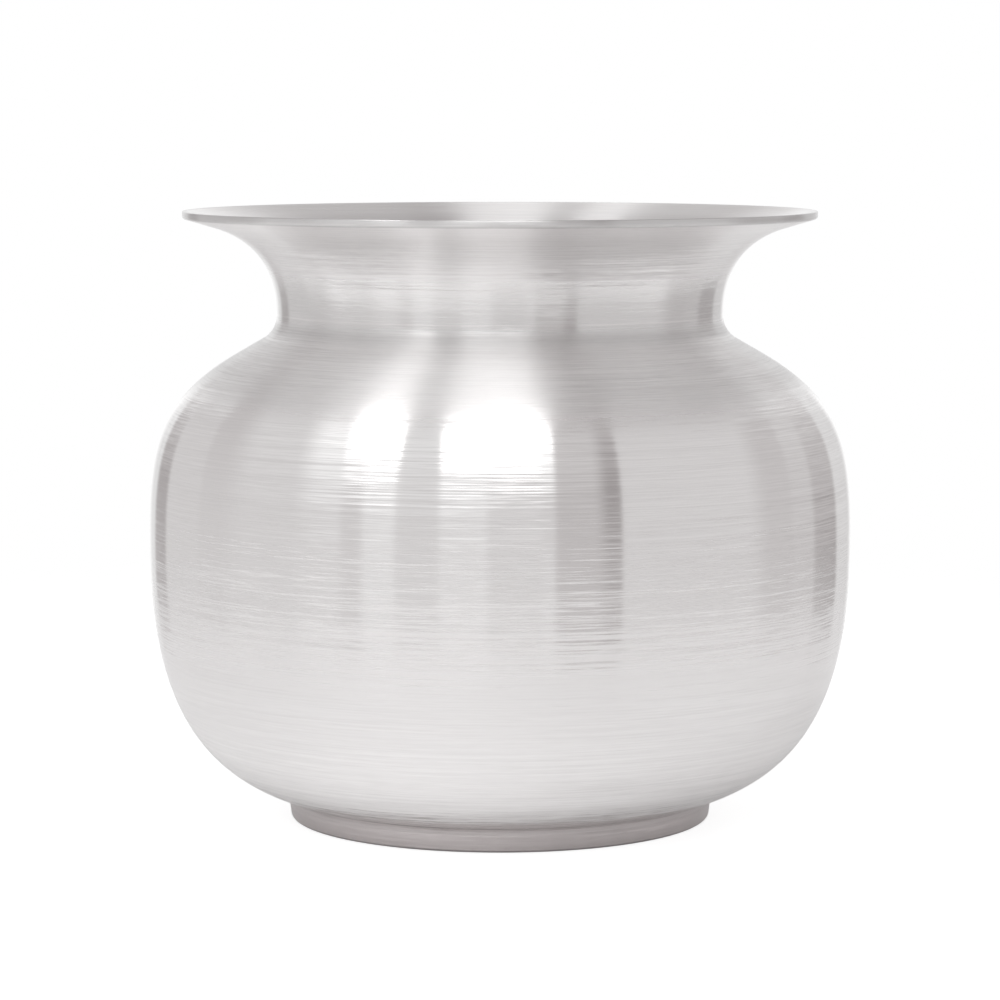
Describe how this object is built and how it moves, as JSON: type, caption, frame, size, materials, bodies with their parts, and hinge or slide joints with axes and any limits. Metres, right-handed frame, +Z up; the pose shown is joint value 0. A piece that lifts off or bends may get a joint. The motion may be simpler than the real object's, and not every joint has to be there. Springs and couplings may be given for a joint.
{
  "type": "lota",
  "caption": "Round-bellied metal water pot with a pinched neck, a wide flared lip and a low foot ring, for holding and pouring water.",
  "frame": {"origin": "on the table under the centre of the foot ring", "axes": "+Z up along the pot's axis; the pot is round, so +X and -Y (the pictured side) carry no feature"},
  "size_m": [0.1, 0.1, 0.0866],
  "materials": {
    "brushed_silver": "silver, brushed round the axis with fine emery lines, bright",
    "silver_solder": "silver solder dressed flush and brushed with the sheet beside it"
  },
  "bodies": {
    "root": {"bowl": "brushed_silver", "neck_and_lip": "brushed_silver", "foot_ring": "brushed_silver", "neck_solder": "silver_solder", "foot_solder": "silver_solder"}
  },
  "joints": []
}
